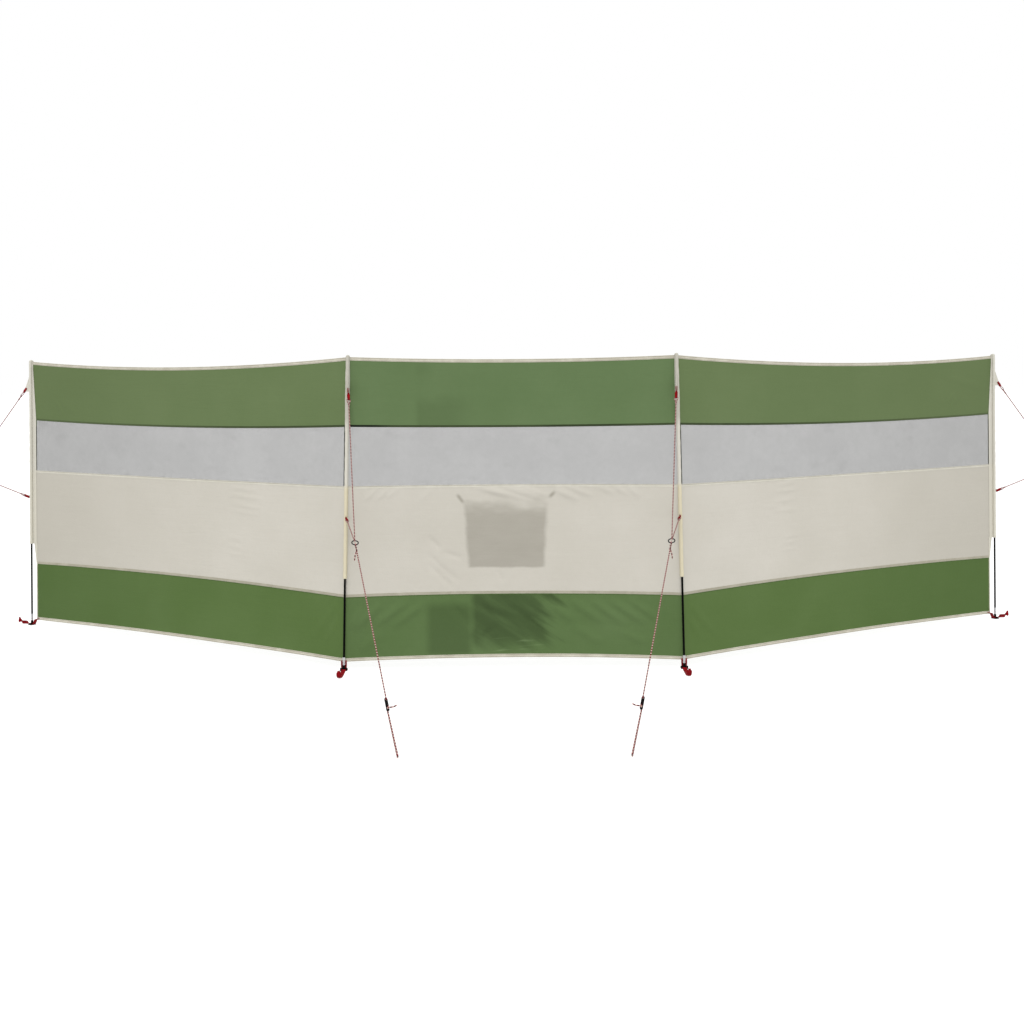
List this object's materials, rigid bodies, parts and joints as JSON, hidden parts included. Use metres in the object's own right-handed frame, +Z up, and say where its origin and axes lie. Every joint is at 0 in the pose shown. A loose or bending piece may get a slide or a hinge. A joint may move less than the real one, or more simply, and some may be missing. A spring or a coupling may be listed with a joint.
{
  "type": "beach windbreak",
  "caption": "Freestanding fabric windbreak with banded side bays folded back from a middle bay, clear window strip, slim poles in sleeves, foot straps and guy lines.",
  "frame": {"origin": "on the ground under the left inner pole, at the middle of its foot's bottom face", "axes": "+X along the middle bay to the right inner pole, +Z up, and the outer face of the fabric looks towards -Y"},
  "size_m": [7.7806, 2.5672, 1.4404],
  "materials": {
    "green_cloth": "woven coated polyester, matte green",
    "cream_cloth": "woven coated polyester, matte cream",
    "window_film": "clear flexible film, softly mottled",
    "hem_tape": "folded woven binding tape",
    "sleeve_cloth": "woven coated polyester, sewn as a tunnel",
    "pocket_cloth": "woven coated polyester",
    "pole_black": "black pultruded glass-fibre rod",
    "tip_metal": "plated steel",
    "foot_plastic": "moulded black plastic",
    "red_webbing": "woven red webbing",
    "ring_steel": "plated steel wire",
    "guy_rope": "braided red cord with pale flecks",
    "runner_plastic": "moulded black plastic"
  },
  "bodies": {
    "root": {"cream_band_left": "cream_cloth", "cream_band_middle": "cream_cloth", "cream_band_right": "cream_cloth", "foot_strap_left_end": "red_webbing", "foot_strap_left_inner": "red_webbing", "foot_strap_right_end": "red_webbing", "foot_strap_right_inner": "red_webbing", "guy_line_left_end": "guy_rope", "guy_line_left_inner": "guy_rope", "guy_line_right_end": "guy_rope", "guy_line_right_inner": "guy_rope", "guy_loops_left_end": "red_webbing", "guy_loops_left_inner": "red_webbing", "guy_loops_right_end": "red_webbing", "guy_loops_right_inner": "red_webbing", "guy_ring_left_end": "ring_steel", "guy_ring_left_inner": "ring_steel", "guy_ring_right_end": "ring_steel", "guy_ring_right_inner": "ring_steel", "guy_runner_left_end": "runner_plastic", "guy_runner_left_inner": "runner_plastic", "guy_runner_right_end": "runner_plastic", "guy_runner_right_inner": "runner_plastic", "hem_tapes_left": "hem_tape", "hem_tapes_middle": "hem_tape", "hem_tapes_right": "hem_tape", "lower_band_left": "green_cloth", "lower_band_middle": "green_cloth", "lower_band_right": "green_cloth", "pole_foot_left_end": "foot_plastic", "pole_foot_left_inner": "foot_plastic", "pole_foot_right_end": "foot_plastic", "pole_foot_right_inner": "foot_plastic", "pole_left_end": "pole_black", "pole_left_inner": "pole_black", "pole_right_end": "pole_black", "pole_right_inner": "pole_black", "pole_tip_left_end": "tip_metal", "pole_tip_left_inner": "tip_metal", "pole_tip_right_end": "tip_metal", "pole_tip_right_inner": "tip_metal", "sleeve_left_end": "sleeve_cloth", "sleeve_left_inner": "sleeve_cloth", "sleeve_right_end": "sleeve_cloth", "sleeve_right_inner": "sleeve_cloth", "storage_pocket": "pocket_cloth", "top_band_left": "green_cloth", "top_band_middle": "green_cloth", "top_band_right": "green_cloth", "window_left": "window_film", "window_middle": "window_film", "window_right": "window_film"}
  },
  "joints": []
}
